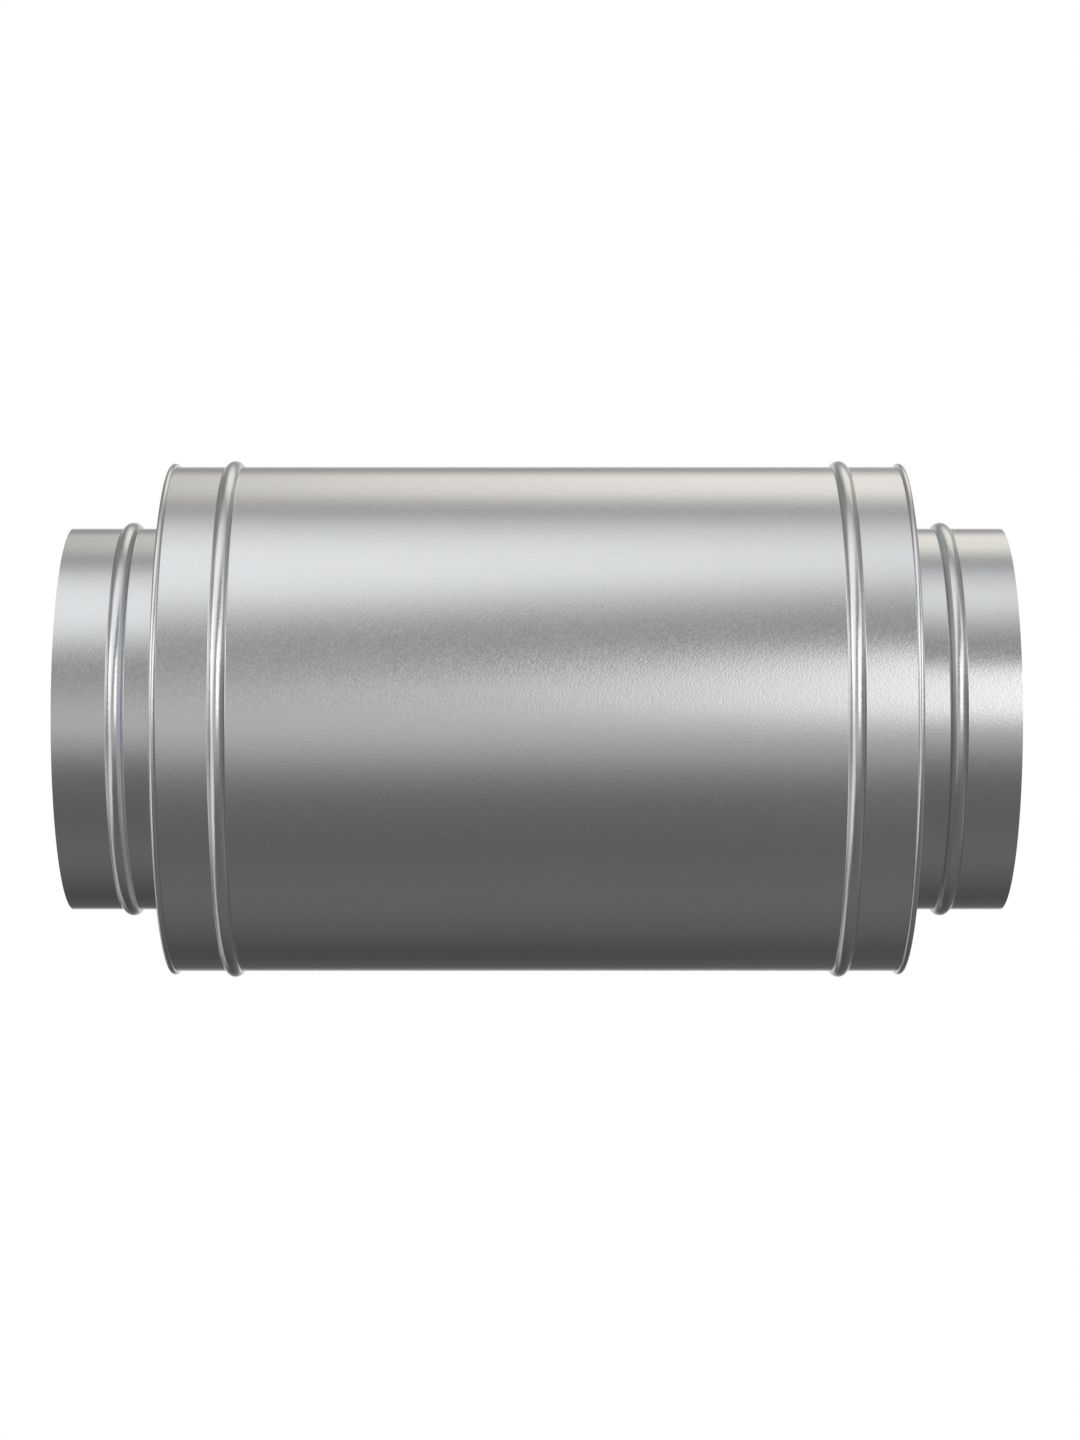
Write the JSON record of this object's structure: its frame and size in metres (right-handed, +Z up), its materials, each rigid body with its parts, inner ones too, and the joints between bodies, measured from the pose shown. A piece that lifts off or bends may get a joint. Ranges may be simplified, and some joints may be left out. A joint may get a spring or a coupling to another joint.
{
  "type": "duct sound attenuator",
  "caption": "Round straight in-duct silencer: galvanised casing with rolled beads and seamed end caps, mineral wool round a perforated tube, and a beaded duct spigot at each end.",
  "frame": {"origin": "on the duct's axis, half way along the part: the centre of its box", "axes": "+X along the duct's axis towards the right spigot, +Z up, -Y towards the picture's camera"},
  "size_m": [0.7622, 0.4247, 0.4247],
  "materials": {
    "galvanised_casing": "hot-dip galvanised sheet, fine minimised spangle, satin",
    "galvanised_caps": "hot-dip galvanised sheet, pressed, satin",
    "galvanised_spigots": "hot-dip galvanised sheet, rolled, satin",
    "perforated_sheet": "galvanised perforated sheet, satin",
    "glass_tissue": "black glass-fibre tissue, matt",
    "mineral_wool": "mineral wool, matt fibrous",
    "rivet_steel": "zinc-plated blind rivets",
    "duct_mastic": "grey duct mastic, matt"
  },
  "bodies": {
    "root": {"casing": "galvanised_casing", "end_cap_left": "galvanised_caps", "end_cap_right": "galvanised_caps", "spigot_left": "galvanised_spigots", "spigot_right": "galvanised_spigots", "perforated_tube": "perforated_sheet", "fleece_liner": "glass_tissue", "wool_mat": "mineral_wool", "rivets_left": "rivet_steel", "rivets_right": "rivet_steel", "sealant_left": "duct_mastic", "sealant_right": "duct_mastic"}
  },
  "joints": []
}
